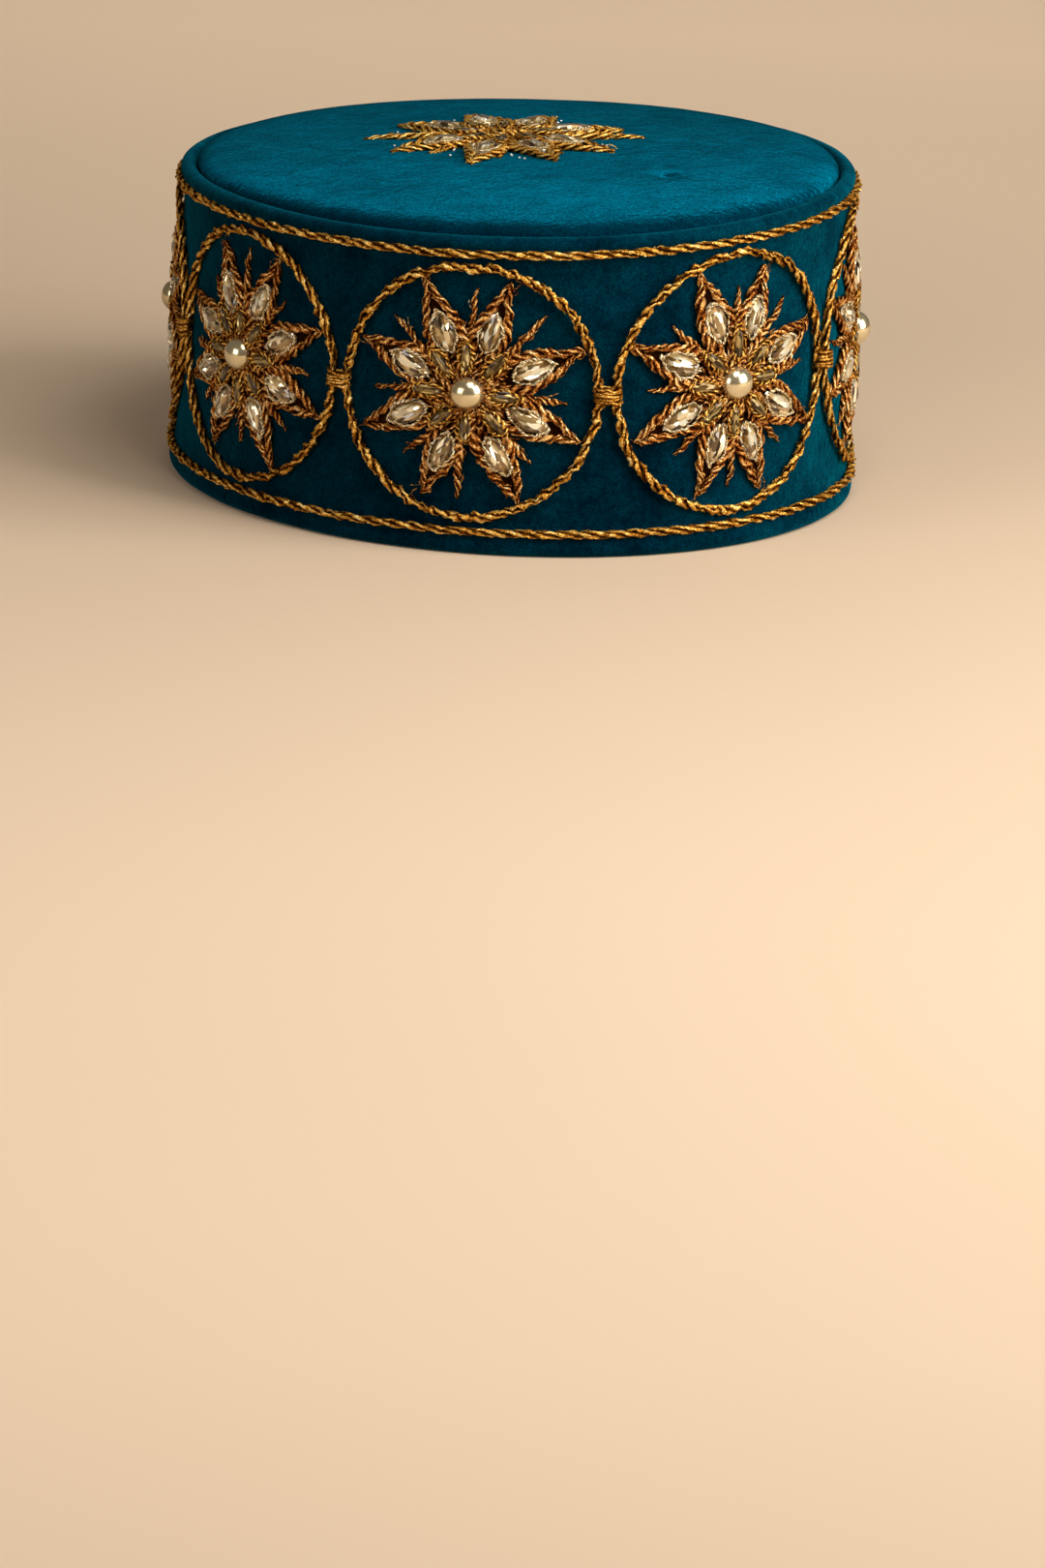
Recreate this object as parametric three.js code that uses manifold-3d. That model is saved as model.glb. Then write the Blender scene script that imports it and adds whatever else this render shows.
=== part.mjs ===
// Velvet chieftaincy cap with gold cord medallions, crystal stars and pearls
// Units are millimetres. +Z is up, the wearer's front faces -Y and the rim rests on z = 0.

import * as THREE from 'three';
import { ConvexGeometry } from 'three/addons/geometries/ConvexGeometry.js';
import { mergeVertices } from 'three/addons/utils/BufferGeometryUtils.js';
import Module from 'manifold-3d';

const wasm = await Module();
wasm.setup();

// Driving dimensions of the cap body
const HALF_LENGTH = 100.6;
const HALF_WIDTH = 92.4;
const WALL_THICKNESS = 3;
const WALL_DRAW_IN = 0.021;
const MID_HEIGHT = 46.2;
const GAP = 0.3;

// How a height changes over the plan, as shares of it at the ends of the oval's axes
const LEAN_TO_SIDE = 0.025;
const LEAN_TO_BACK = -0.017;
const CORNER_DROP = -0.019;
const END_DROP = -0.009;

// Driving dimensions of the crown panel
const CROWN_INSET = WALL_THICKNESS + GAP;

// Driving dimensions of the gold cords
const CORD_RADIUS = 1.25;
const CORD_OUT = CORD_RADIUS + GAP;
const BOTTOM_CORD_HEIGHT = 6.6;
const TOP_CORD_HEIGHT = 85.2;

// Driving dimensions of the medallions
const MEDALLIONS = 8;
const RING_RADIUS = 35.5;
const RING_HEIGHT = 46.1;

// Driving dimensions of the stars
const PETALS = 8;
const PETAL_THICKNESS = 1.2;
const HUB_RADIUS = 6.5;
const HUB_THICKNESS = 1.6;
const STONE_HALF_LENGTH = 5;
const STONE_HALF_WIDTH = 3;
const STONE_REACH = 18.5;
const STONE_RISE = 2.2;
const STONE_TABLE_SHARE = 0.55;
const PEARL_RADIUS = 4.4;
const PEARL_RISE = 4.1;
const TOP_STAR_SCALE = 1.06;
const TOP_STAR_BACK = 10;
const TOP_STAR_SIDE = 2.5;
const TOP_STAR_TURN = 6;
const TOP_STAR_LONG_SPIKES = [3, 7];
const LONG_SPIKE_STRETCH = 1.28;

// Facet counts
const WALL_SEGMENTS = 56;
const RING_SEGMENTS = 21;
const CORD_SIDES = 5;
const HUB_SIDES = 8;
const STONE_SIDES = 6;
const PEARL_SIDES = 10;
const PEARL_BANDS = 4;

// Section of the side band: distance out from the wall line, and height above the rim
const BAND_SECTION = [
  { place: 'rim inside', out: -WALL_THICKNESS, height: 0 },
  { place: 'rim outside', out: -0.4, height: 0 },
  { place: 'rim roll', out: 0.7, height: 0.9 },
  { place: 'rim roll top', out: 0.9, height: 2.4 },
  { place: 'below cord', out: 0, height: 6.6 },
  { place: 'above cord', out: 0, height: 87 },
  { place: 'lip shoulder', out: -0.5, height: 88.7 },
  { place: 'lip', out: -1.6, height: 89.7 },
  { place: 'seam', out: -WALL_THICKNESS, height: 89.4 },
];

// Section of the crown: share of the way from the centre to its edge, and height above the rim
const CROWN_TOP = [
  { place: 'centre', share: 0, height: 94.2 },
  { place: 'dome', share: 0.5, height: 93.8 },
  { place: 'outer dome', share: 0.8, height: 92.7 },
  { place: 'shoulder', share: 0.95, height: 91.1 },
  { place: 'seam', share: 1, height: 89.2 },
];
const CROWN_UNDER = [
  { place: 'seam', share: 1, height: 86.2 },
  { place: 'outer dome', share: 0.8, height: 89.6 },
  { place: 'centre', share: 0, height: 91 },
];

// Outlines of one star's blades: distance from the star's centre, and half width
const PETAL_OUTLINE = [
  { place: 'root', reach: 4, half: 0 },
  { place: 'widest', reach: 15, half: 4.9 },
  { place: 'taper', reach: 24, half: 3.9 },
  { place: 'tip', reach: 33.5, half: 0 },
];
const SPIKE_OUTLINE = [
  { place: 'root', reach: 5, half: 0 },
  { place: 'middle', reach: 12, half: 0.9 },
  { place: 'taper', reach: 21, half: 1.1 },
  { place: 'tip', reach: 28.5, half: 0 },
];

const FLAT = { sides: 4, firstSide: Math.PI / 4 };
const RIDGED = { sides: 3, firstSide: 0 };

// Materials
const velvet = new THREE.MeshStandardMaterial({ color: 0x065a6b, roughness: 0.9, metalness: 0 });
const goldCord = new THREE.MeshStandardMaterial({ color: 0xc98f35, roughness: 0.4, metalness: 0.8 });
const crystalStar = new THREE.MeshStandardMaterial({ color: 0xd9b878, roughness: 0.3, metalness: 0.6 });
const pearl = new THREE.MeshStandardMaterial({ color: 0xead9ad, roughness: 0.15, metalness: 0.3 });

// Radius of the round shape from which the band and its cords are carried to the oval
const ROUND_RADIUS = 96.5;

// Oval wall line, measured by its length round from the front
const wallLine = new THREE.EllipseCurve(0, 0, HALF_WIDTH, HALF_LENGTH, -Math.PI / 2, Math.PI * 1.5, false);
wallLine.arcLengthDivisions = 720;
const GIRTH = wallLine.getLength();
const MEDALLION_PITCH = GIRTH / MEDALLIONS;

function leant(x, y, height) {
  const side = x / HALF_WIDTH;
  const back = y / HALF_LENGTH;
  const lean = LEAN_TO_SIDE * side + LEAN_TO_BACK * back + CORNER_DROP * side * back + END_DROP * back * back;
  return new THREE.Vector3(x, y, height * (1 + lean));
}

function onWall(arc, height, out) {
  const share = THREE.MathUtils.euclideanModulo(arc / GIRTH, 1);
  const line = wallLine.getPointAt(share);
  const along = wallLine.getTangentAt(share);
  const spread = out + WALL_DRAW_IN * (MID_HEIGHT - height);
  return leant(line.x + along.y * spread, line.y - along.x * spread, height);
}

function onCrown(turn, share, height) {
  const edge = onWall(turn * GIRTH, CROWN_TOP.at(-1).height, -CROWN_INSET);
  return leant(edge.x * share, edge.y * share, height);
}

// Height of the dome's surface over a point of the plan
function domeHeight(x, y) {
  const share = Math.hypot(x / (HALF_WIDTH - CROWN_INSET), y / (HALF_LENGTH - CROWN_INSET));
  const next = CROWN_TOP.findIndex((row) => row.share > share);
  const [low, high] = [CROWN_TOP[next - 1], CROWN_TOP[next]];
  return THREE.MathUtils.mapLinear(share, low.share, high.share, low.height, high.height);
}

// Geometry helpers
function bend(geometry, place) {
  const position = geometry.attributes.position;
  for (let i = 0; i < position.count; i += 1) {
    const p = place(position.getX(i), position.getY(i), position.getZ(i));
    position.setXYZ(i, p.x, p.y, p.z);
  }
  return geometry;
}

function weld(geometry) {
  const bare = geometry.clone();
  bare.deleteAttribute('normal');
  bare.deleteAttribute('uv');
  return mergeVertices(bare, 1e-4);
}

function toManifold(geometry) {
  const welded = weld(geometry);
  return new wasm.Manifold(new wasm.Mesh({
    numProp: 3,
    vertProperties: new Float32Array(welded.attributes.position.array),
    triVerts: new Uint32Array(welded.index.array),
  }));
}

function toGeometry(solid) {
  const mesh = solid.getMesh();
  const geometry = new THREE.BufferGeometry();
  geometry.setAttribute('position', new THREE.BufferAttribute(mesh.vertProperties, 3));
  geometry.setIndex(new THREE.BufferAttribute(mesh.triVerts, 1));
  return geometry;
}

function join(geometries) {
  const solids = geometries.map(toManifold);
  return toGeometry(solids.reduce((whole, solid) => whole.add(solid)));
}

// An angle round an axis, from its sine and cosine, as a share of one turn
function turnShare(sine, cosine) {
  return THREE.MathUtils.euclideanModulo(Math.atan2(sine, cosine) / (2 * Math.PI), 1);
}

// Side band: a closed section carried round the oval
function sideBand() {
  const section = [...BAND_SECTION, BAND_SECTION[0]];
  const points = section.map((row) => new THREE.Vector2(ROUND_RADIUS + row.out, row.height));
  const lathe = new THREE.LatheGeometry(points, WALL_SEGMENTS);
  return bend(weld(lathe), (x, y, z) =>
    onWall(turnShare(x, z) * GIRTH, y, Math.hypot(x, z) - ROUND_RADIUS));
}

// Crown: a gently domed panel of even thickness, set inside the band's lip
function crown() {
  const section = [...CROWN_TOP, ...CROWN_UNDER].reverse();
  const points = section.map((row) => new THREE.Vector2(row.share, row.height));
  const lathe = new THREE.LatheGeometry(points, WALL_SEGMENTS);
  return bend(weld(lathe), (x, y, z) => onCrown(turnShare(x, z), Math.hypot(x, z), y));
}

// Border cord: a torus carried round the oval
function borderCord(height) {
  const torus = new THREE.TorusGeometry(ROUND_RADIUS, CORD_RADIUS, CORD_SIDES, WALL_SEGMENTS);
  return bend(weld(torus), (x, y, z) =>
    onWall(turnShare(y, x) * GIRTH, height + z, Math.hypot(x, y) - ROUND_RADIUS + CORD_OUT));
}

// Ring cord of one medallion
function ringCord(arc) {
  const torus = new THREE.TorusGeometry(RING_RADIUS, CORD_RADIUS, CORD_SIDES, RING_SEGMENTS);
  return bend(weld(torus), (x, y, z) => onWall(arc + x, RING_HEIGHT + y, CORD_OUT + z));
}

// Tie: thread that fills the gap between two rings and laps over both cords
function ringTie(arc) {
  const tieHeight = 4;
  const lapThickness = 0.9;
  const lapHalf = 3.4;
  const stemHalf = MEDALLION_PITCH / 2 - RING_RADIUS - CORD_RADIUS - GAP;
  const lapOut = CORD_OUT + CORD_RADIUS + GAP;
  const section = new THREE.Shape();
  section.moveTo(-stemHalf, GAP);
  section.lineTo(stemHalf, GAP);
  section.lineTo(stemHalf, lapOut);
  section.lineTo(lapHalf, lapOut);
  section.lineTo(lapHalf, lapOut + lapThickness);
  section.lineTo(-lapHalf, lapOut + lapThickness);
  section.lineTo(-lapHalf, lapOut);
  section.lineTo(-stemHalf, lapOut);
  section.closePath();
  const bar = new THREE.ExtrudeGeometry(section, { depth: tieHeight, bevelEnabled: false });
  bar.rotateX(Math.PI / 2).translate(0, tieHeight / 2, 0);
  return bend(weld(bar), (x, y, z) => onWall(arc + x, RING_HEIGHT + y, z));
}

// Blade: pointed at both ends, lying along +X on z = 0, with a flat top or a ridge
function blade(outline, { sides, firstSide }) {
  const points = outline.map((row) => new THREE.Vector2(row.half, row.reach));
  const lathe = new THREE.LatheGeometry(points, sides, firstSide);
  const widen = 1 / Math.sin(Math.PI / sides);
  const onAxis = 1e-6;
  return bend(lathe, (x, y, z) => {
    const side = Math.abs(z) < onAxis ? 0 : Math.sign(z);
    return new THREE.Vector3(y, -x * widen, (PETAL_THICKNESS / 2) * (1 + side));
  });
}

// Cut stone: a marquise whose triangular facets run from its girdle up to a flat table
function stone() {
  const points = [];
  const base = PETAL_THICKNESS - GAP;
  for (let i = 0; i < STONE_SIDES; i += 1) {
    const girdleTurn = (i / STONE_SIDES) * 2 * Math.PI;
    const tableTurn = ((i + 0.5) / STONE_SIDES) * 2 * Math.PI;
    points.push(stonePoint(girdleTurn, 1, base));
    points.push(stonePoint(tableTurn, STONE_TABLE_SHARE, base + STONE_RISE));
  }
  return new ConvexGeometry(points);
}

function stonePoint(turn, share, height) {
  const along = STONE_REACH + STONE_HALF_LENGTH * share * Math.cos(turn);
  return new THREE.Vector3(along, STONE_HALF_WIDTH * share * Math.sin(turn), height);
}

// Star: petals with their stones, thin spikes and a hub, joined in one flat piece
function flatStar(longSpikes) {
  const hub = new THREE.CylinderGeometry(HUB_RADIUS, HUB_RADIUS, HUB_THICKNESS, HUB_SIDES);
  hub.rotateX(Math.PI / 2).translate(0, 0, HUB_THICKNESS / 2);
  const pieces = [hub];
  for (let i = 0; i < PETALS; i += 1) {
    const spikeTurn = (i / PETALS) * 2 * Math.PI;
    const petalTurn = ((i + 0.5) / PETALS) * 2 * Math.PI;
    const stretch = longSpikes.includes(i) ? LONG_SPIKE_STRETCH : 1;
    pieces.push(blade(SPIKE_OUTLINE, RIDGED).scale(stretch, 1, 1).rotateZ(spikeTurn));
    pieces.push(blade(PETAL_OUTLINE, FLAT).rotateZ(petalTurn));
    pieces.push(stone().rotateZ(petalTurn));
  }
  return join(pieces);
}

// Half pearl: a flat back and a round face, standing on z = lift
function halfPearl(lift) {
  const section = [new THREE.Vector2(0, 0)];
  for (let i = 0; i <= PEARL_BANDS; i += 1) {
    const rise = (i / PEARL_BANDS) * (Math.PI / 2);
    section.push(new THREE.Vector2(PEARL_RADIUS * Math.cos(rise), PEARL_RISE * Math.sin(rise)));
  }
  const dome = new THREE.LatheGeometry(section, PEARL_SIDES);
  return weld(dome.rotateX(Math.PI / 2).translate(0, 0, lift));
}

// Places a flat piece on the band, or on the crown
function onBand(geometry, arc) {
  return bend(geometry, (x, y, z) => onWall(arc + x, RING_HEIGHT + y, GAP + z));
}

function onTop(geometry) {
  const turned = geometry.rotateZ(THREE.MathUtils.degToRad(TOP_STAR_TURN));
  return bend(turned, (x, y, z) => {
    const planX = TOP_STAR_SIDE + x * TOP_STAR_SCALE;
    const planY = TOP_STAR_BACK + y * TOP_STAR_SCALE;
    return leant(planX, planY, domeHeight(planX, planY) + GAP + z);
  });
}

// Assembly
const cap = new THREE.Group();

function add(name, geometry, material) {
  geometry.computeVertexNormals();
  const mesh = new THREE.Mesh(geometry, material);
  mesh.name = name;
  cap.add(mesh);
}

add('side_band', sideBand(), velvet);
add('crown', crown(), velvet);
add('border_cord_bottom', borderCord(BOTTOM_CORD_HEIGHT), goldCord);
add('border_cord_top', borderCord(TOP_CORD_HEIGHT), goldCord);

const star = flatStar([]);
const pearlLift = HUB_THICKNESS + GAP;

for (let i = 0; i < MEDALLIONS; i += 1) {
  const arc = i * MEDALLION_PITCH;
  add(`ring_cord_${i + 1}`, ringCord(arc), goldCord);
  add(`ring_tie_${i + 1}`, ringTie(arc + MEDALLION_PITCH / 2), goldCord);
  add(`star_${i + 1}`, onBand(star.clone(), arc), crystalStar);
  add(`pearl_${i + 1}`, onBand(halfPearl(pearlLift), arc), pearl);
}

add('star_top', onTop(flatStar(TOP_STAR_LONG_SPIKES)), crystalStar);

export default cap;
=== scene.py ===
# Velvet chieftaincy cap: embroidered flat in gold cord, purl and crystals, then wrapped on its oval band
import math
import random
import bpy
from mathutils import Matrix, Vector


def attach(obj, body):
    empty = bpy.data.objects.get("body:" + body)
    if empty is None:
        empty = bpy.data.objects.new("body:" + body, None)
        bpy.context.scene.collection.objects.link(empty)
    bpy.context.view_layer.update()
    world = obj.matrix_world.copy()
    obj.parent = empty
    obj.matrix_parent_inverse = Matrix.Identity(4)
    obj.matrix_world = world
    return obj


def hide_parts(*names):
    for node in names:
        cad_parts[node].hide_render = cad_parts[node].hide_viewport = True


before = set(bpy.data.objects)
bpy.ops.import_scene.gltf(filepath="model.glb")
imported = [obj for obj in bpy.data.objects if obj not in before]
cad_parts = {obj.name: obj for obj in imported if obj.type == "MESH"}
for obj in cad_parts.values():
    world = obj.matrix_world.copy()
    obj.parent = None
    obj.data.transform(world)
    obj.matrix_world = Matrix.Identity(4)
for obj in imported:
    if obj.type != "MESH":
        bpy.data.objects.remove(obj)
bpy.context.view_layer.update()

MM = 0.001

# The oval band
HALF_LENGTH = 100.6 * MM
HALF_WIDTH = 92.4 * MM
WALL_DRAW_IN = 0.021
MID_HEIGHT = 46.2 * MM
ROUND_RADIUS = 96.5 * MM
CROWN_INSET = 3.3 * MM
LIP_HEIGHT = 89.2 * MM
RIM_CLEAR = 0.02 * MM
ROW_SPACING = 8 * MM
STEPS_ROUND = 72

# How a height changes over the plan, as shares of it at the ends of the oval's axes
LEAN_TO_SIDE = 0.025
LEAN_TO_BACK = -0.017
CORNER_DROP = -0.019
END_DROP = -0.009

# The gold cords
CORD_OUT = 1.25 * MM
BOTTOM_CORD_HEIGHT = 6.6 * MM
TOP_CORD_HEIGHT = 85.2 * MM
BORDER_CORD = dict(strands=3, strand=0.61 * MM, twist=0.63 * MM, sides=6, steps=27)
BORDER_LAY = 18.5 * MM
RING_CORD = dict(strands=3, strand=0.58 * MM, twist=0.60 * MM, sides=6, steps=24)
RING_LAY = 15.5 * MM

# How a cord laid by hand wanders, slow to fine: amount and grain, in millimetres
CORD_WANDER = ((0.9, 13), (1.4, 4.2), (2.4, 1.5))

# The purl of the stars, finer than the cords
EDGE_PURL = dict(strands=3, strand=0.58 * MM, twist=0.61 * MM, sides=4, steps=13)
LINING_PURL = dict(strands=2, strand=0.49 * MM, twist=0.42 * MM, sides=4, steps=8)
RIM_PURL = dict(strands=2, strand=0.27 * MM, twist=0.13 * MM, sides=4, steps=5)
LEAF_PURL = dict(strands=2, strand=0.30 * MM, twist=0.25 * MM, sides=4, steps=7)
LOOSE_THREAD = dict(strands=1, strand=0.2 * MM, twist=0.02 * MM, sides=4, steps=2)

# The medallions
MEDALLIONS = 8
RING_RADIUS = 35.5 * MM
RING_HEIGHT = 46.1 * MM
PETALS = 8
PEARL_RADIUS = 4.6 * MM
PEARL_RISE = 4.1 * MM
PEARL_LIFT = 2.2 * MM
STONE_REACH = 18.5 * MM
LEAF_STONE_REACH = 10.6 * MM
GIRDLE_ROUND_SHARE = 0.86
BULLIONS_ROUND = 48
BULLIONS_ACROSS = 8
TIE_WINDINGS = 5
WINDING_SPACING = 0.92 * MM
TIE_LIFT = 2.0 * MM

# The star on the crown
TOP_STAR_SCALE = 1.06
TOP_STAR_SIDE = 2.5 * MM
TOP_STAR_BACK = 10 * MM
TOP_STAR_TURN = math.radians(6)
TOP_STAR_LONG_SPIKES = (3, 7)
TOP_STAR_PETAL_TURNS = (1, -4, -8, 10, 6, 5, -5, 1)
LONG_SPIKE_STRETCH = 1.28
SEED_BEADS_TO_PETAL = 7
SEED_BEAD_RADIUS = 0.33 * MM

# A small pressed place in the crown's velvet, in front of its star
PRESSED_SIDE = 11.8 * MM
PRESSED_BACK = -55.6 * MM
PRESSED_WIDTH = 3.2 * MM
PRESSED_DEPTH = 1.3 * MM

# Sections: place, distance out from the wall line or share of the way to the crown's edge, height
BAND_SECTION = [
    ("rim inside", -3.0, 0.4), ("rim under", -1.8, 0.0), ("rim outside", 0.4, 0.0), ("rim turn", 1.6, 0.6),
    ("rim roll", 2.0, 2.0), ("rim ease", 1.7, 4.2), ("below cord", 0.4, 6.6), ("low wall", 0, 10),
    ("high wall", 0, 81), ("behind cord", 0.3, 85.2), ("above cord", 1.4, 87.0), ("lip rise", 1.3, 88.3),
    ("lip shoulder", 0.4, 89.3), ("lip", -1.1, 89.8), ("lip fall", -2.4, 89.5), ("seam", -3.05, 88.4),
    ("seam foot", -3.1, 87.0), ("inside high", -3, 81), ("inside low", -3, 4)]
CROWN_SECTION = [
    ("centre", 0, 94.3), ("inner dome", 0.25, 94.2), ("dome", 0.5, 94.0), ("outer dome", 0.72, 93.5),
    ("shoulder", 0.86, 93.0), ("puff", 0.93, 92.4), ("edge", 0.965, 91.7), ("edge roll", 0.986, 90.7),
    ("edge drop", 0.997, 89.5), ("seam", 1.0, 88.3), ("seam foot", 1.0, 86.8), ("under edge", 0.96, 87.1),
    ("under", 0.8, 89.2), ("under centre", 0, 91.0)]
CROWN_TOP_ROWS = 10

# Lines sewn in purl, half of each round a petal, stone or leaf: place, reach, aside, fullness
PETAL_EDGE = [
    ("root", 5.5, 0.9, 0.8), ("shoulder", 10.5, 3.1, 1), ("widest", 16.5, 4.5, 1.05),
    ("taper", 24.5, 3.0, 1.0), ("near tip", 30, 1.15, 0.8), ("tip", 34.0, 0.1, 0.4)]
PETAL_LINING = [
    ("root", 7.5, 0.5, 0.9), ("shoulder", 12, 2.4, 1), ("widest", 17.5, 3.7, 1), ("taper", 24, 2.4, 0.9),
    ("tip", 30, 0.3, 0.5)]
STONE_RIM = [
    ("root", 12.2, 0.0, 1), ("low side", 15.2, 2.6, 1), ("high side", 20.6, 2.85, 1), ("point", 25.0, 0.0, 1)]
LEAF_EDGE = [
    ("root", 5.6, 0, 1), ("low side", 8.6, 1.75, 1), ("high side", 12.4, 1.7, 1), ("point", 15.6, 0, 1)]
SPIKE_MAIN = [
    ("root", 7, -0.2, 0.9), ("middle", 17, 0.3, 1), ("near tip", 25, 0.1, 0.75), ("tip", 29.5, 0, 0.3)]
SPIKE_BESIDE = [("root", 7, 0.9, 0.9), ("middle", 15, 1.1, 1), ("tip", 23.5, 0.6, 0.4)]
BULLION_STRAND = [("root", 3.2, 0, 0.9), ("middle", 8, 0.3, 1.1), ("tip", 13.5, 0, 0.8)]
LOOSE_END = [("root", 0, 0, 1.2), ("bend", 1.6, 0.25, 1), ("end", 3.0, -0.1, 0.6)]

# Outline of the ground stitched under a petal: place, reach, half width
PETAL_GROUND = [
    ("root", 5, 0.8), ("shoulder", 10.5, 2.9), ("widest", 16.5, 4.4), ("taper", 25, 2.9), ("tip", 32, 0.3)]


# Bench work: picking, settling and joining pieces
def pick(*pieces):
    bpy.ops.object.select_all(action="DESELECT")
    for piece in pieces:
        piece.select_set(True)
    bpy.context.view_layer.objects.active = pieces[-1]


def settle(piece):
    pick(piece)
    bpy.ops.object.transform_apply(location=True, rotation=True, scale=True)
    return piece


def finish_modifiers(piece):
    pick(piece)
    for modifier in [m.name for m in piece.modifiers]:
        bpy.ops.object.modifier_apply(modifier=modifier)
    return piece


def open_mesh(piece):
    pick(piece)
    bpy.ops.object.mode_set(mode="EDIT")
    bpy.ops.mesh.select_mode(type="VERT")
    bpy.ops.mesh.select_all(action="SELECT")


def close_mesh():
    bpy.ops.object.mode_set(mode="OBJECT")


def welded(piece, distance):
    open_mesh(piece)
    bpy.ops.mesh.remove_doubles(threshold=distance)
    close_mesh()
    return piece


def faced_out(piece):
    open_mesh(piece)
    bpy.ops.mesh.normals_make_consistent(inside=False)
    close_mesh()
    return piece


def smooth(piece):
    pick(piece)
    bpy.ops.object.shade_smooth()
    return piece


def joined(name, pieces):
    pick(*pieces)
    if len(pieces) > 1:
        bpy.ops.object.join()
    whole = bpy.context.object
    whole.name = name
    return whole


def discard(*pieces):
    for piece in pieces:
        bpy.data.objects.remove(piece, do_unlink=True)


def copied(piece, place):
    twin = piece.copy()
    twin.data = piece.data.copy()
    bpy.context.collection.objects.link(twin)
    twin.data.transform(place)
    return twin


def marked(piece, name, measured):
    """Gives each point a value worked out from its place"""
    marks = piece.data.attributes.new(name, "FLOAT", "POINT")
    for vertex, mark in zip(piece.data.vertices, marks.data):
        mark.value = measured(vertex.co)
    return piece


def turned(angle, axis="Z"):
    return Matrix.Rotation(angle, 4, axis)


def moved(x=0.0, y=0.0, z=0.0):
    return Matrix.Translation((x, y, z))


def sized(x=1.0, y=1.0, z=1.0):
    return Matrix.Diagonal((x, y, z, 1))


# Guides: the oval wall line, round lines and drawn lines that cords follow
def round_guide(name, half_x, half_y):
    bpy.ops.curve.primitive_bezier_circle_add(radius=1, location=(0, 0, 0))
    guide = bpy.context.object
    guide.name = name
    guide.data.resolution_u = 64
    guide.data.twist_mode = "Z_UP"
    bpy.ops.object.mode_set(mode="EDIT")
    bpy.ops.curve.select_all(action="SELECT")
    bpy.ops.transform.resize(value=(half_x, half_y, 1))
    bpy.ops.curve.switch_direction()
    bpy.ops.object.mode_set(mode="OBJECT")
    guide.data.use_deform_bounds = False
    return guide


def drawn_guide(name, points):
    """points holds each place as (name, along, aside, fullness), in millimetres"""
    line = bpy.data.curves.new(name, type="CURVE")
    line.dimensions = "2D"
    line.resolution_u = 24
    spline = line.splines.new("BEZIER")
    spline.bezier_points.add(len(points) - 1)
    for knot, (place, along, aside, fullness) in zip(spline.bezier_points, points):
        knot.co = (along * MM, aside * MM, 0)
        knot.radius = fullness
        knot.handle_left_type = knot.handle_right_type = "AUTO"
    guide = bpy.data.objects.new(name, line)
    bpy.context.collection.objects.link(guide)
    bpy.context.view_layer.update()
    line.use_deform_bounds = False
    line.use_radius = True
    return guide


def guide_length(guide):
    return guide.data.splines[0].calc_length()


oval = round_guide("oval_wall_line", HALF_WIDTH, HALF_LENGTH)
GIRTH = guide_length(oval)
PITCH = GIRTH / MEDALLIONS


def lean_over(x, y):
    side, back = x / HALF_WIDTH, y / HALF_LENGTH
    return LEAN_TO_SIDE * side + LEAN_TO_BACK * back + CORNER_DROP * side * back + END_DROP * back * back


def made_lean_cage(size):
    """A cage larger than the cap, whose upper points carry the slight lean of the real one"""
    cage = bpy.data.objects.new("lean_cage", bpy.data.lattices.new("lean_cage"))
    bpy.context.collection.objects.link(cage)
    cage.scale = (size, size, size)
    cage.location = (0, 0, size / 2)
    cage.data.points_v = 17
    for way in "uvw":
        setattr(cage.data, "interpolation_type_" + way, "KEY_LINEAR")
    for corner in cage.data.points:
        x, y, z = corner.co
        corner.co_deform = (x, y, z + (z + 0.5) * lean_over(x * size, y * size))
    bpy.context.view_layer.update()
    return cage


lean_cage = made_lean_cage(300 * MM)


def leant(piece):
    piece.modifiers.new("lean", "LATTICE").object = lean_cage
    return finish_modifiers(piece)


def follow(piece, guide):
    bend = piece.modifiers.new("follow", "CURVE")
    bend.object = guide
    bend.deform_axis = "POS_X"
    return finish_modifiers(piece)


def on_band(piece, arc, height):
    """Stands a flat piece up, face outwards, and wraps it on the wall, whose line starts a quarter before
    the front"""
    piece.data.transform(moved(x=GIRTH / 4 + arc, z=height) @ turned(math.pi / 2, "X"))
    piece.data.transform(moved(z=MID_HEIGHT) @ turned(-math.atan(WALL_DRAW_IN), "X") @ moved(z=-MID_HEIGHT))
    return leant(follow(piece, oval))


def crown_height(x, y):
    share = math.hypot(x / (HALF_WIDTH - CROWN_INSET), y / (HALF_LENGTH - CROWN_INSET))
    rows = [(row_share, height * MM) for place, row_share, height in CROWN_SECTION[:CROWN_TOP_ROWS]]
    for (low, low_height), (high, high_height) in zip(rows, rows[1:]):
        if share <= high:
            return low_height + (high_height - low_height) * (share - low) / (high - low)
    return rows[-1][1]


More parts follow.
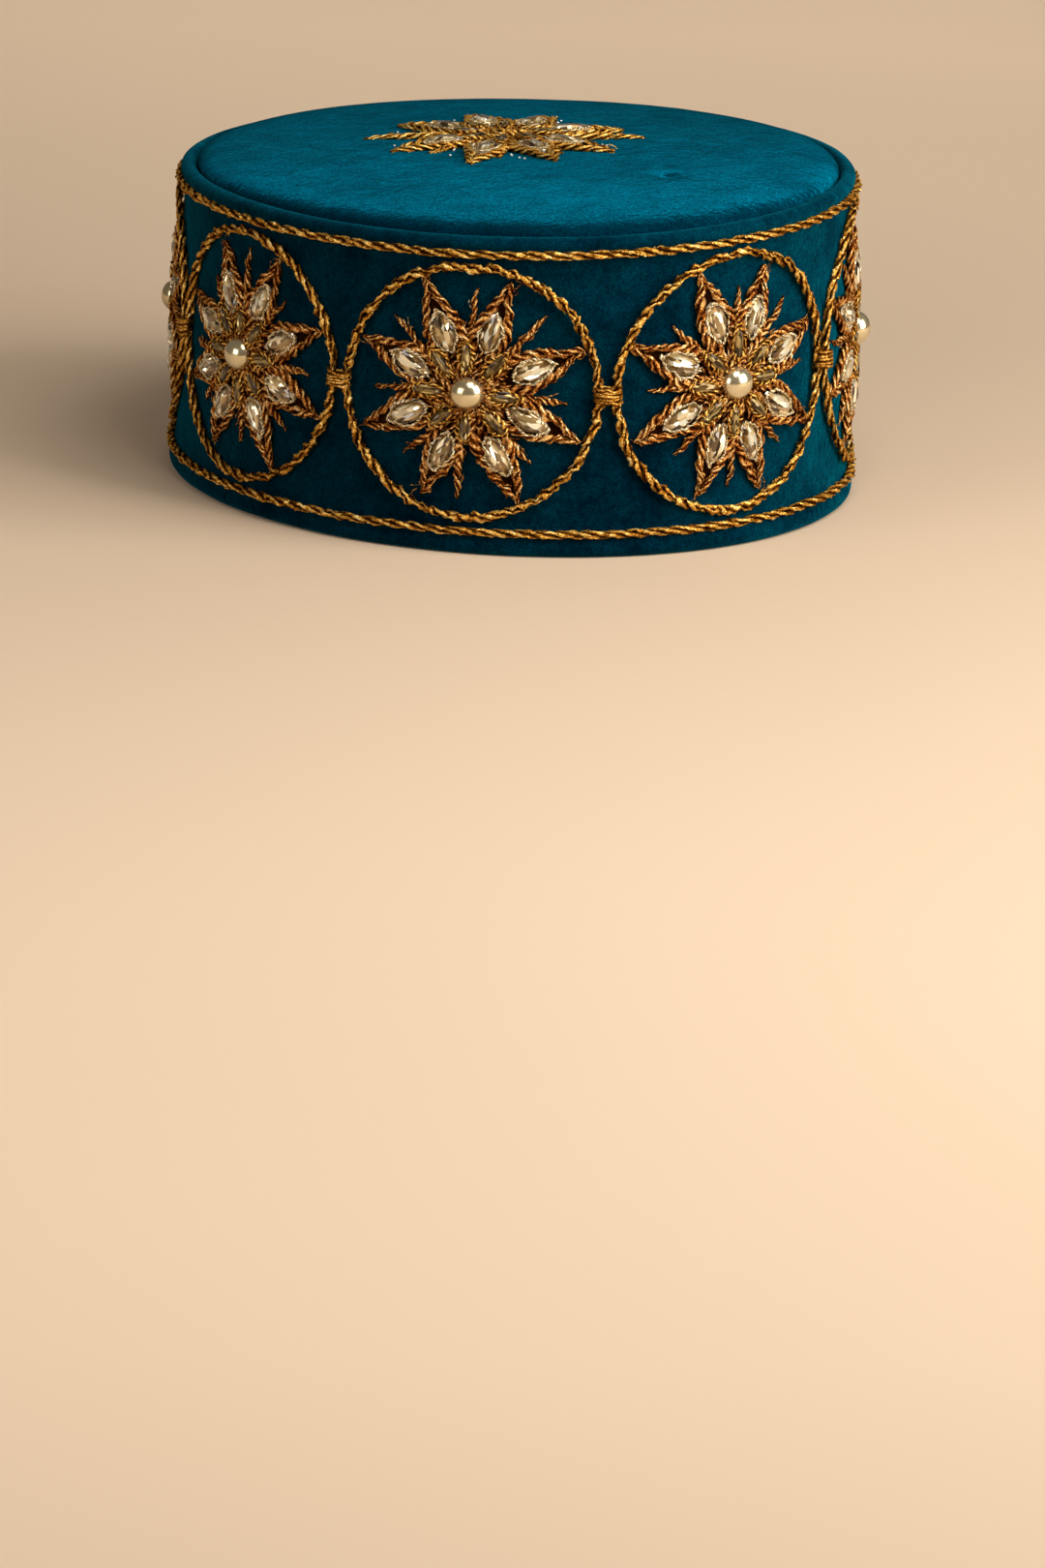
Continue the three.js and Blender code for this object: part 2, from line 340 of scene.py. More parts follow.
# Cords: strands twisted together along X, one lay copied end to end
def twisted_cord(name, strands, strand, twist, lay, lays, sides, steps, closed_ends=True):
    rounds = []
    slope = math.atan2(2 * math.pi * twist, lay)
    for i in range(strands):
        bpy.ops.mesh.primitive_circle_add(
            vertices=sides, radius=strand, location=(0, 0, twist), rotation=(0, math.pi / 2, -slope))
        strand_round = settle(bpy.context.object)
        strand_round.data.transform(turned(2 * math.pi * i / strands, "X"))
        rounds.append(strand_round)
    cord = joined(name, rounds)
    turn = cord.modifiers.new("twist", "SCREW")
    turn.axis = "X"
    turn.angle = 2 * math.pi
    turn.screw_offset = lay
    turn.steps = turn.render_steps = steps
    turn.use_normal_calculate = False
    finish_modifiers(cord)
    # The relief mark, how far out each point stands, drives the thread shader's painted crevice shade and
    # crest highlight
    marked(cord, "relief", lambda spot: math.hypot(spot.y, spot.z) / (twist + strand))
    around = strands * sides
    unrolled = cord.data.uv_layers.new(name="thread")
    for face in cord.data.polygons:
        seam = {v % sides for v in face.vertices} >= {0, sides - 1}
        for loop in face.loop_indices:
            vertex = cord.data.loops[loop].vertex_index
            side = vertex % sides
            across = sides if seam and side == 0 else side
            unrolled.data[loop].uv = (vertex // around / steps, across / sides)
    row = cord.modifiers.new("lays", "ARRAY")
    row.use_relative_offset = False
    row.use_constant_offset = True
    row.constant_offset_displace = (lay, 0, 0)
    row.count = lays
    row.use_merge_vertices = True
    row.merge_threshold = 0.002 * MM
    finish_modifiers(cord)
    if closed_ends:
        open_mesh(cord)
        bpy.ops.mesh.fill_holes(sides=sides)
        close_mesh()
    return smooth(faced_out(cord))


def cord_along(name, guide, lift, lay, **make):
    """A twisted cord with a whole number of lays, laid along a guide at a height over the velvet"""
    length = guide_length(guide)
    lays = max(1, round(length / lay))
    whole_round = guide.data.splines[0].use_cyclic_u
    cord = twisted_cord(name, lay=length / lays, lays=lays, closed_ends=not whole_round, **make)
    cord.data.transform(moved(z=lift))
    follow(cord, guide)
    return welded(cord, 0.02 * MM) if whole_round else cord


def hand_laid(piece, amount, grain, seed):
    """The small wander of cord and thread laid by hand: along, aside and a little in height"""
    for direction, share, stretch in (("X", 1.0, 0.83), ("Y", 1.0, 1.0), ("Z", 0.3, 1.21)):
        waver = bpy.data.textures.new("waver", "CLOUDS")
        waver.noise_scale = grain * stretch
        waver.noise_depth = 1
        shift = piece.modifiers.new("waver", "DISPLACE")
        shift.texture = waver
        shift.texture_coords = "LOCAL"
        shift.direction = direction
        shift.strength = amount * share
        shift.mid_level = 0.5
    away = moved(x=0.31 * seed, z=0.17 * seed)
    piece.data.transform(away)
    finish_modifiers(piece)
    piece.data.transform(away.inverted())
    return piece


def hand_twisted(piece, seed):
    """A cord's slow wander, its uneven twist and the frayed face of its metal thread"""
    for amount, grain in CORD_WANDER:
        hand_laid(piece, amount * MM, grain * MM, seed + grain)
    return piece


# Velvet
def spun(name, rows, steps, closed):
    """A section drawn point by point from one corner, spun round the upright axis"""
    bpy.ops.mesh.primitive_plane_add(size=MM, location=(0, 0, 0))
    piece = bpy.context.object
    piece.name = name
    open_mesh(piece)
    bpy.ops.mesh.merge(type="CENTER")
    bpy.ops.transform.translate(value=rows[0])
    rows = rows + rows[:1] if closed else rows
    for here, there in zip(rows, rows[1:]):
        bpy.ops.mesh.extrude_region_move(TRANSFORM_OT_translate={"value": Vector(there) - Vector(here)})
    bpy.ops.mesh.select_all(action="SELECT")
    bpy.ops.mesh.remove_doubles(threshold=0.01 * MM)
    bpy.ops.mesh.spin(steps=steps, angle=2 * math.pi, center=(0, 0, 0), axis=(0, 0, 1))
    close_mesh()
    return faced_out(welded(piece, 0.01 * MM))


def made_oval(piece, half_x, half_y, radius):
    piece.data.transform(sized(x=half_x / radius, y=half_y / radius))
    return piece


def uneven(piece, amount, grain):
    """The slight unevenness of cloth over its stiffening"""
    lumps = bpy.data.textures.new("lumps", "CLOUDS")
    lumps.noise_scale = grain
    lumps.noise_depth = 2
    shift = piece.modifiers.new("uneven", "DISPLACE")
    shift.texture = lumps
    shift.texture_coords = "LOCAL"
    shift.strength = amount
    shift.mid_level = 0.5
    return finish_modifiers(piece)


def rounded(piece, levels):
    softening = piece.modifiers.new("soft", "SUBSURF")
    softening.levels = softening.render_levels = levels
    return finish_modifiers(piece)


def close_rows(rows, spacing):
    """Adds rows to a section where they stand further apart than the spacing"""
    filled = [rows[0]]
    for here, there in zip(rows, rows[1:]):
        step = Vector(there) - Vector(here)
        pieces = math.ceil(step.length / spacing)
        filled += [tuple(Vector(here) + step * (i + 1) / pieces) for i in range(pieces)]
    return filled


def side_band():
    rows = []
    for place, out, height in BAND_SECTION:
        draw_in = WALL_DRAW_IN * (MID_HEIGHT - height * MM)
        rows.append((ROUND_RADIUS + out * MM + draw_in, 0, height * MM))
    band = spun("velvet_side_band", close_rows(rows, ROW_SPACING), STEPS_ROUND, closed=True)
    made_oval(band, HALF_WIDTH, HALF_LENGTH, ROUND_RADIUS)
    rounded(band, levels=2)
    uneven(band, amount=0.3 * MM, grain=26 * MM)
    for v in band.data.vertices:
        v.co.z = max(v.co.z, RIM_CLEAR)
    return smooth(leant(band))


def crown():
    edge = ROUND_RADIUS - CROWN_INSET
    rows = [(edge * share, 0, height * MM) for place, share, height in CROWN_SECTION]
    panel = spun("velvet_crown", close_rows(rows, ROW_SPACING), STEPS_ROUND, closed=False)
    draw_in = WALL_DRAW_IN * (MID_HEIGHT - LIP_HEIGHT)
    made_oval(panel, HALF_WIDTH - CROWN_INSET + draw_in, HALF_LENGTH - CROWN_INSET + draw_in, edge)
    rounded(panel, levels=2)
    uneven(panel, amount=0.5 * MM, grain=38 * MM)
    for v in panel.data.vertices:
        away = math.hypot(v.co.x - PRESSED_SIDE, v.co.y - PRESSED_BACK) / PRESSED_WIDTH
        v.co.z -= PRESSED_DEPTH * math.exp(-away * away)
    return smooth(leant(panel))


# Materials
def new_material(name):
    material = bpy.data.materials.new(name)
    material.use_nodes = True
    nodes, links = material.node_tree.nodes, material.node_tree.links
    return material, nodes, links, nodes["Principled BSDF"]


def noise(nodes, links, coordinates, scale, detail, roughness):
    grain = nodes.new("ShaderNodeTexNoise")
    grain.inputs["Scale"].default_value = scale
    grain.inputs["Detail"].default_value = detail
    grain.inputs["Roughness"].default_value = roughness
    links.new(coordinates, grain.inputs["Vector"])
    return grain.outputs["Fac"]


def tones(nodes, links, value, stops):
    """stops holds each tone as (position, red, green, blue)"""
    ramp = nodes.new("ShaderNodeValToRGB")
    while len(ramp.color_ramp.elements) < len(stops):
        ramp.color_ramp.elements.new(0.5)
    for element, (position, *colour) in zip(ramp.color_ramp.elements, stops):
        element.position = position
        element.color = (*colour, 1)
    links.new(value, ramp.inputs["Fac"])
    return ramp.outputs["Color"]


def blended(nodes, links, share, first, second, way="MIX"):
    mix = nodes.new("ShaderNodeMix")
    mix.data_type = "RGBA"
    mix.blend_type = way
    if isinstance(share, float):
        mix.inputs["Factor"].default_value = share
    else:
        links.new(share, mix.inputs["Factor"])
    links.new(first, mix.inputs["A"])
    links.new(second, mix.inputs["B"])
    return mix.outputs["Result"]


def bumped(nodes, links, shader, height, strength, distance, normal=None):
    bump = nodes.new("ShaderNodeBump")
    bump.inputs["Strength"].default_value = strength
    bump.inputs["Distance"].default_value = distance
    links.new(height, bump.inputs["Height"])
    if normal is not None:
        links.new(normal, bump.inputs["Normal"])
    if shader is not None:
        links.new(bump.outputs["Normal"], shader.inputs["Normal"])
    return bump.outputs["Normal"]


def object_place(nodes):
    return nodes.new("ShaderNodeTexCoord").outputs["Object"]


def added_up(nodes, links, terms):
    """Adds values up, each times its own weight; terms holds (value, weight)"""
    total = None
    for value, weight in terms:
        step = nodes.new("ShaderNodeMath")
        step.operation = "MULTIPLY_ADD"
        links.new(value, step.inputs[0])
        step.inputs[1].default_value = weight
        step.inputs[2].default_value = 0.0
        if total is not None:
            links.new(total, step.inputs[2])
        total = step.outputs[0]
    return total


def vector_step(nodes, links, way, vector, other=None):
    """One step of vector arithmetic; other is a second vector, fixed or worked out"""
    step = nodes.new("ShaderNodeVectorMath")
    step.operation = way
    links.new(vector, step.inputs[0])
    if isinstance(other, tuple):
        step.inputs[1].default_value = other
    elif other is not None:
        links.new(other, step.inputs[1])
    return step


def stored(nodes, name):
    reading = nodes.new("ShaderNodeAttribute")
    reading.attribute_name = name
    return reading.outputs["Fac"]


def velvet_material(name, sheen, brushing, sheen_tones):
    """Deep pile with a painted sheen: its colour grows lighter as its side comes into sight, the sheen tones
    running from face on to edge on;
    brushing runs from the places brushed down to those brushed up, and sides facing the lamps on the right
    are painted lighter"""
    material, nodes, links, shader = new_material(name)
    place = object_place(nodes)
    nap = noise(nodes, links, place, 20, 4, 0.6)
    strokes = noise(nodes, links, place, 120, 3, 0.6)
    tuft = noise(nodes, links, place, 520, 2, 0.6)
    pile = noise(nodes, links, place, 1700, 2, 0.75)
    brushed = added_up(nodes, links, [(nap, 0.46), (strokes, 0.32), (tuft, 0.22)])
    lie = bumped(nodes, links, None, brushed, 0.5, 3 * MM)
    standing = bumped(nodes, links, None, pile, 0.9, 0.4 * MM, lie)
    # Painted sheen: the colour follows how edge on the surface is seen
    sheen_facing = nodes.new("ShaderNodeLayerWeight")
    sheen_facing.inputs["Blend"].default_value = 0.5
    links.new(lie, sheen_facing.inputs["Normal"])
    colour = tones(nodes, links, sheen_facing.outputs["Facing"], sheen_tones)
    patches = tones(nodes, links, brushed, brushing)
    flecks = tones(nodes, links, pile, [(0.34, 0.30, 0.30, 0.35), (0.64, 1.3, 1.3, 1.3)])
    # Painted shade and light: surfaces turned away from the lamps on the right are darkened, those turned
    # towards them lightened
    face = nodes.new("ShaderNodeNewGeometry").outputs["Normal"]
    light_facing = vector_step(nodes, links, "DOT_PRODUCT", face, LIT_SIDE_DIRECTION)
    light_share = nodes.new("ShaderNodeMapRange")
    light_share.inputs["From Min"].default_value = -1
    links.new(light_facing.outputs["Value"], light_share.inputs["Value"])
    painted_side_light = tones(nodes, links, light_share.outputs["Result"], [
        (0.02, 0.38, 0.40, 0.44), (0.28, 0.68, 0.70, 0.73), (0.50, 0.86, 0.87, 0.88),
        (0.75, 1.05, 1.05, 1.05), (0.95, 1.22, 1.22, 1.18)])
    colour = blended(nodes, links, 1.0, colour, painted_side_light, "MULTIPLY")
    colour = blended(nodes, links, 1.0, colour, patches, "MULTIPLY")
    colour = blended(nodes, links, 0.9, colour, flecks, "MULTIPLY")
    links.new(colour, shader.inputs["Base Color"])
    links.new(standing, shader.inputs["Normal"])
    shader.inputs["Roughness"].default_value = 1.0
    shader.inputs["Specular IOR Level"].default_value = 0.0
    shader.inputs["Sheen Weight"].default_value = sheen
    shader.inputs["Sheen Roughness"].default_value = 0.5
    shader.inputs["Sheen Tint"].default_value = (0.02, 0.45, 0.62, 1)
    return material


def gold_thread_material(name, colours):
    """Metal thread with a painted highlight on its raised turns and painted shade in the crevices between
    them, over the thread's own varied gold; colours run from deep to bright
    """
    material, nodes, links, shader = new_material(name)
    place = object_place(nodes)
    patch = noise(nodes, links, place, 300, 2, 0.6)
    speck = noise(nodes, links, place, 1900, 2, 0.85)
    thread = nodes.new("ShaderNodeUVMap")
    thread.uv_map = "thread"
    fibre = nodes.new("ShaderNodeMapping")
    fibre.inputs["Scale"].default_value = (5.0, 9.0, 1.0)
    links.new(thread.outputs["UV"], fibre.inputs["Vector"])
    fibres = noise(nodes, links, fibre.outputs["Vector"], 1.6, 2, 0.6)
    # Painted shade and highlight: the relief mark darkens the crevices between strands and lightens their
    # crests, in the tones and through the crevice shade ramp
    relief = stored(nodes, "relief")
    wear_and_relief_shade = added_up(nodes, links, [(relief, 0.24), (speck, 0.40), (patch, 0.22), (fibres, 0.26)])
    stops = [(mark, *colour) for mark, colour in zip(THREAD_MARKS, colours)]
    depth = tones(nodes, links, relief, [
        (0.50, 0.10, 0.06, 0.04), (0.74, 0.50, 0.40, 0.32), (0.92, 1.25, 1.25, 1.25)])
    gold = tones(nodes, links, wear_and_relief_shade, stops)
    links.new(blended(nodes, links, 1.0, gold, depth, "MULTIPLY"), shader.inputs["Base Color"])
    shader.inputs["Metallic"].default_value = 0.85
    shader.inputs["Specular IOR Level"].default_value = 0.25
    shader.inputs["Specular Tint"].default_value = (1.0, 0.70, 0.34, 1)
    rough = nodes.new("ShaderNodeMapRange")
    rough.inputs["From Min"].default_value = 0.3
    rough.inputs["From Max"].default_value = 0.7
    rough.inputs["To Min"].default_value = 0.6
    rough.inputs["To Max"].default_value = 0.22
    links.new(speck, rough.inputs["Value"])
    links.new(rough.outputs["Result"], shader.inputs["Roughness"])
    wound = bumped(nodes, links, None, fibres, 0.7, 0.25 * MM)
    bumped(nodes, links, shader, speck, 0.8, 0.3 * MM, wound)
    return material


def cut_stone_material(name, facet_colours, edge_colour, shine):
    """Foiled glass: long facets that each catch the light their own way, their dark to pale tones partly a
    painted reflection, and a pale girdle edge, partly its foil and setting and partly a painted highlight
    """
    material, nodes, links, shader = new_material(name)
    thread = nodes.new("ShaderNodeUVMap")
    thread.uv_map = "thread"
    cells = nodes.new("ShaderNodeTexVoronoi")
    cells.inputs["Scale"].default_value = 1.9
    cells.inputs["Randomness"].default_value = 0.85
    links.new(thread.outputs["UV"], cells.inputs["Vector"])
    split = nodes.new("ShaderNodeSeparateColor")
    links.new(cells.outputs["Color"], split.inputs["Color"])
    # Painted reflection: the sloping facets are painted darker and browner than the table
    slope = stored(nodes, "outward")
    slopes = tones(nodes, links, slope, [(0.08, 1, 1, 1), (0.30, 0.50, 0.38, 0.20)])
    # Each facet cell gets its own tone from dark to pale, partly the stone's own tint and partly a painted
    # reflection of what the glass shows
    facets = tones(nodes, links, split.outputs["Red"], facet_colours)
    facets = blended(nodes, links, 1.0, facets, slopes, "MULTIPLY")
    # The pale girdle edge: partly its foil and setting, partly a painted highlight where the girdle catches
    # the light
    pale_girdle_edge = tones(nodes, links, slope, [(0.66, 0, 0, 0), (0.86, 1, 1, 1)])
    edge = nodes.new("ShaderNodeRGB")
    edge.outputs[0].default_value = (*edge_colour, 1)
    links.new(blended(nodes, links, pale_girdle_edge, facets, edge.outputs[0]), shader.inputs["Base Color"])
    shader.inputs["Metallic"].default_value = 0.45
    shader.inputs["Roughness"].default_value = 0.15
    shader.inputs["Coat Weight"].default_value = shine
    shader.inputs["Coat Roughness"].default_value = 0.02
    shader.inputs["Coat IOR"].default_value = 1.7
    centred = vector_step(nodes, links, "SUBTRACT", cells.outputs["Color"], (0.5, 0.5, 0.5))
    tilt = vector_step(nodes, links, "SCALE", centred.outputs["Vector"])
    tilt.inputs["Scale"].default_value = 1.1
    face = nodes.new("ShaderNodeNewGeometry").outputs["Normal"]
    tipped = vector_step(nodes, links, "ADD", face, tilt.outputs["Vector"])
    normal = vector_step(nodes, links, "NORMALIZE", tipped.outputs["Vector"])
    links.new(normal.outputs["Vector"], shader.inputs["Normal"])
    links.new(normal.outputs["Vector"], shader.inputs["Coat Normal"])
    return material


def pearl_material():
    material, nodes, links, shader = new_material("champagne_pearl")
    place = object_place(nodes)
    lustre = noise(nodes, links, place, 160, 2, 0.5)
    colour = tones(nodes, links, lustre, [(0.35, 0.70, 0.58, 0.34), (0.65, 0.83, 0.72, 0.47)])
    links.new(colour, shader.inputs["Base Color"])
    shader.inputs["Metallic"].default_value = 0.9
    shader.inputs["Roughness"].default_value = 0.21
    shader.inputs["Coat Weight"].default_value = 0.4
    shader.inputs["Coat Roughness"].default_value = 0.10
    bumped(nodes, links, shader, lustre, 0.1, 0.2 * MM)
    return material


# Painted light and shade on the velvet: sides facing this way, towards the lamps on the right, are painted
# lighter and sides facing away darker
LIT_SIDE_DIRECTION = (0.8, -0.6, 0)

# Where the five colours of a metal thread stand on its mix of random wear and painted relief shade, from the
# darkest to the brightest
THREAD_MARKS = (0.52, 0.59, 0.655, 0.72, 0.79)

# Metal thread colours from deep to bright, the deep ones partly painted crevice shade and the bright ones
# partly painted crest highlight: red, green, blue
CORD_GOLDS = [
    (0.018, 0.003, 0.001), (0.13, 0.034, 0.003), (0.46, 0.20, 0.02), (0.92, 0.58, 0.14), (1.0, 0.94, 0.66)]
RUST_GOLDS = [
    (0.014, 0.002, 0.001), (0.11, 0.016, 0.002), (0.46, 0.16, 0.02), (0.98, 0.62, 0.22), (1.0, 0.96, 0.82)]
BRIGHT_GOLDS = [
    (0.024, 0.006, 0.001), (0.32, 0.105, 0.01), (0.86, 0.43, 0.06), (1.0, 0.74, 0.24), (1.0, 0.96, 0.76)]
PALE_GOLDS = [
    (0.24, 0.12, 0.035), (0.72, 0.50, 0.22), (1.0, 0.84, 0.50), (1.0, 0.94, 0.74), (1.0, 0.99, 0.92)]
GROUND_BROWNS = [
    (0.014, 0.003, 0.001), (0.06, 0.013, 0.002), (0.20, 0.062, 0.01), (0.50, 0.23, 0.05), (0.90, 0.66, 0.30)]

# Lit and shaded copies of one velvet: the crown's painted sheen is far brighter than the band's, painted
# light for the crown that faces up to the lamps, its peak part way to edge on painting the crown's brightest
# zone
crown_velvet = velvet_material("teal_velvet_crown", sheen=0.10, brushing=[
    (0.38, 0.60, 0.60, 0.64), (0.50, 1, 1, 1), (0.62, 1.38, 1.38, 1.38)], sheen_tones=[
    (0.05, 0.0, 0.019, 0.036), (0.42, 0.0, 0.024, 0.045), (0.59, 0.0, 0.058, 0.100),
    (0.68, 0.0, 0.172, 0.280), (0.76, 0.0, 0.104, 0.172), (0.87, 0.0, 0.044, 0.073)])
band_velvet = velvet_material("teal_velvet_band", sheen=0.18, brushing=[
    (0.40, 0.34, 0.36, 0.46), (0.50, 1, 1, 1), (0.60, 1.75, 1.75, 1.60)], sheen_tones=[
    (0.05, 0.0, 0.019, 0.036), (0.45, 0.0, 0.018, 0.034),
    (0.70, 0.0, 0.036, 0.061), (0.90, 0.0, 0.062, 0.097)])
gold_cord = gold_thread_material("couched_gold_cord", CORD_GOLDS)
rust_purl = gold_thread_material("rust_gold_purl", RUST_GOLDS)
bright_purl = gold_thread_material("bright_gold_purl", BRIGHT_GOLDS)
pale_purl = gold_thread_material("pale_gold_purl", PALE_GOLDS)
brown_ground = gold_thread_material("brown_ground_thread", GROUND_BROWNS)
# The crystal's facet tones and pale edge are partly painted reflection and highlight on clear foiled glass
crystal = cut_stone_material("foiled_crystal", [
    (0.05, 0.05, 0.022, 0.003), (0.28, 0.24, 0.135, 0.036),
    (0.50, 0.66, 0.47, 0.20), (0.74, 1.0, 0.93, 0.70)],
    edge_colour=(1.0, 0.88, 0.64), shine=1.0)
smoky_chip = cut_stone_material("smoky_chip", [
    (0.05, 0.024, 0.011, 0.003), (0.32, 0.085, 0.048, 0.011),
    (0.58, 0.20, 0.125, 0.032), (0.85, 0.50, 0.35, 0.12)],
    edge_colour=(0.40, 0.20, 0.045), shine=0.12)
clear_bead = cut_stone_material("clear_bead", [
    (0.05, 0.85, 0.84, 0.80), (0.5, 1.0, 1.0, 0.97)],
    edge_colour=(1.0, 1.0, 0.96), shine=1.0)
pearl_lustre = pearl_material()


def dressed(piece, material):
    piece.data.materials.clear()
    piece.data.materials.append(material)
    return piece


# Star pieces, modelled flat with their reach along X
def stone(name, half_length, half_width, rise):
    """A pointed oval cut stone: girdle, crown facets and a table"""
    bpy.ops.mesh.primitive_circle_add(vertices=12, radius=1, fill_type="NGON", location=(0, 0, 0))
    gem = bpy.context.object
    gem.name = name
    open_mesh(gem)
    bpy.ops.transform.resize(value=(half_length * GIRDLE_ROUND_SHARE, half_width, 1))
    close_mesh()
    for v in gem.data.vertices:
        v.select = abs(v.co.y) < 0.02 * MM
    bpy.ops.object.mode_set(mode="EDIT")
    bpy.ops.transform.resize(value=(1 / GIRDLE_ROUND_SHARE, 1, 1))
    bpy.ops.mesh.select_all(action="SELECT")
    bpy.ops.mesh.extrude_region_move(TRANSFORM_OT_translate={"value": (0, 0, rise * 0.3)})
    bpy.ops.mesh.extrude_region_move(TRANSFORM_OT_translate={"value": (0, 0, rise * 0.36)})
    bpy.ops.transform.resize(value=(0.82, 0.8, 1))
    bpy.ops.transform.rotate(value=math.radians(2), orient_axis="Z", center_override=(0, 0, 0))
    bpy.ops.mesh.extrude_region_move(TRANSFORM_OT_translate={"value": (0, 0, rise * 0.34)})
    bpy.ops.transform.resize(value=(0.68, 0.62, 1))
    bpy.ops.mesh.select_all(action="SELECT")
    bpy.ops.mesh.quads_convert_to_tris(quad_method="FIXED_ALTERNATE")
    bpy.ops.mesh.normals_make_consistent(inside=False)
    close_mesh()
    facets = gem.data.uv_layers.new(name="thread")
    for loop in gem.data.loops:
        along, aside, up = gem.data.vertices[loop.vertex_index].co
        facets.data[loop.index].uv = (along / half_length, 1.7 * aside / half_width)
    return marked(gem, "outward", lambda spot: 1 - spot.z / rise if spot.z > rise * 0.5 else 1)


def recut(gem, hand):
    """Moves a stone's facet pattern, so that no two stones show the same one"""
    shift = (hand.uniform(0, 40), hand.uniform(0, 40))
    for corner in gem.data.uv_layers["thread"].data:
        corner.uv = (corner.uv[0] + shift[0], corner.uv[1] + shift[1])
    return gem


def mirrored(piece):
    return faced_out(copied(piece, sized(y=-1)))


def purl_side(name, points, material, make, lift, lay):
    guide = drawn_guide(name + "_guide", points)
    side = dressed(cord_along(name, guide, lift, lay, **make), material)
    discard(guide)
    return side


def both_sides(name, points, material, make, lift, lay):
    near = purl_side(name, points, material, make, lift, lay)
    return joined(name, [near, mirrored(near)])


def ground_blade(name, outline, lift, thickness):
    """The close stitching under the purl: a flat strip as wide as its outline, lines running along it"""
    bpy.ops.mesh.primitive_grid_add(x_subdivisions=14, y_subdivisions=4, size=2)
    ground = bpy.context.object
    ground.name = name
    first, last = outline[0][1], outline[-1][1]
    unrolled = ground.data.uv_layers.new(name="thread")
    for loop in ground.data.loops:
        along, aside, up = ground.data.vertices[loop.vertex_index].co
        unrolled.data[loop.index].uv = (along * 4, aside * 2)
    for v in ground.data.vertices:
        reach = first + (last - first) * (v.co.x + 1) / 2
        for (place, low, low_half), (next_place, high, high_half) in zip(outline, outline[1:]):
            if low <= reach <= high:
                half = low_half + (high_half - low_half) * (reach - low) / (high - low)
        v.co = (reach * MM, v.co.y * half * MM, lift)
    thick = ground.modifiers.new("thick", "SOLIDIFY")
    thick.thickness = thickness
    thick.offset = -1
    # Painted shade: the low relief mark makes the thread shader darken the ground as if it lay in shade under
    # the purl
    return dressed(marked(finish_modifiers(ground), "relief", lambda spot: 0.55), brown_ground)


def ground_round(name, radius, lift, thickness):
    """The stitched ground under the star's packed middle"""
    bpy.ops.mesh.primitive_cylinder_add(
        vertices=24, radius=radius, depth=thickness, location=(0, 0, lift - thickness / 2))
    ground = settle(bpy.context.object)
    ground.name = name
    ground.data.uv_layers[0].name = "thread"
    # Painted shade: the low relief mark makes the thread shader darken the middle ground as if it lay in
    # shade under the purl
    return dressed(marked(ground, "relief", lambda spot: 0.45), brown_ground)


def leaf_stone(name):
    """The small pale stone held in a leaf loop"""
    chip = dressed(stone(name, half_length=4.6 * MM, half_width=1.8 * MM, rise=1.3 * MM), smoky_chip)
    chip.data.transform(moved(x=LEAF_STONE_REACH, z=2.1 * MM))
    return chip


def petal_stone(name):
    gem = dressed(stone(name, half_length=5.9 * MM, half_width=3.0 * MM, rise=2.4 * MM), crystal)
    gem.data.transform(moved(x=STONE_REACH, z=0.8 * MM))
    return gem


def spike(name):
    """A ragged ray: two lines of purl laid together, one shorter"""
    return joined(name, [
        purl_side(name, SPIKE_MAIN, rust_purl, EDGE_PURL, lift=1.0 * MM, lay=7.5 * MM),
        purl_side(name, SPIKE_BESIDE, rust_purl, LINING_PURL, lift=0.9 * MM, lay=6.0 * MM)])


star_parts = {
    "edge": both_sides("petal_edge", PETAL_EDGE, rust_purl, EDGE_PURL, lift=1.15 * MM, lay=9.0 * MM),
    "lining": both_sides("petal_lining", PETAL_LINING, rust_purl, LINING_PURL, lift=1.35 * MM, lay=6.0 * MM),
    "rim": both_sides("stone_rim", STONE_RIM, pale_purl, RIM_PURL, lift=2.1 * MM, lay=2.2 * MM),
    "ground": ground_blade("petal_ground", PETAL_GROUND, lift=0.8 * MM, thickness=0.6 * MM),
    "middle": ground_round("middle_ground", radius=10.5 * MM, lift=0.9 * MM, thickness=0.7 * MM),
    "gem": petal_stone("petal_stone"),
    "leaf": both_sides("leaf_loop", LEAF_EDGE, bright_purl, LEAF_PURL, lift=2.7 * MM, lay=4.0 * MM),
    "chip": leaf_stone("leaf_stone"),
    "spike": spike("spike"),
    "bullion": purl_side("bullion", BULLION_STRAND, rust_purl, LINING_PURL, lift=1.4 * MM, lay=5.2 * MM),
    "hair": purl_side("loose_end", LOOSE_END, rust_purl, LOOSE_THREAD, lift=0.9 * MM, lay=1.0 * MM),
}


def leaned(share):
    """Leans a piece sideways as it reaches out"""
    skew = Matrix.Identity(4)
    skew[1][0] = share
    return skew


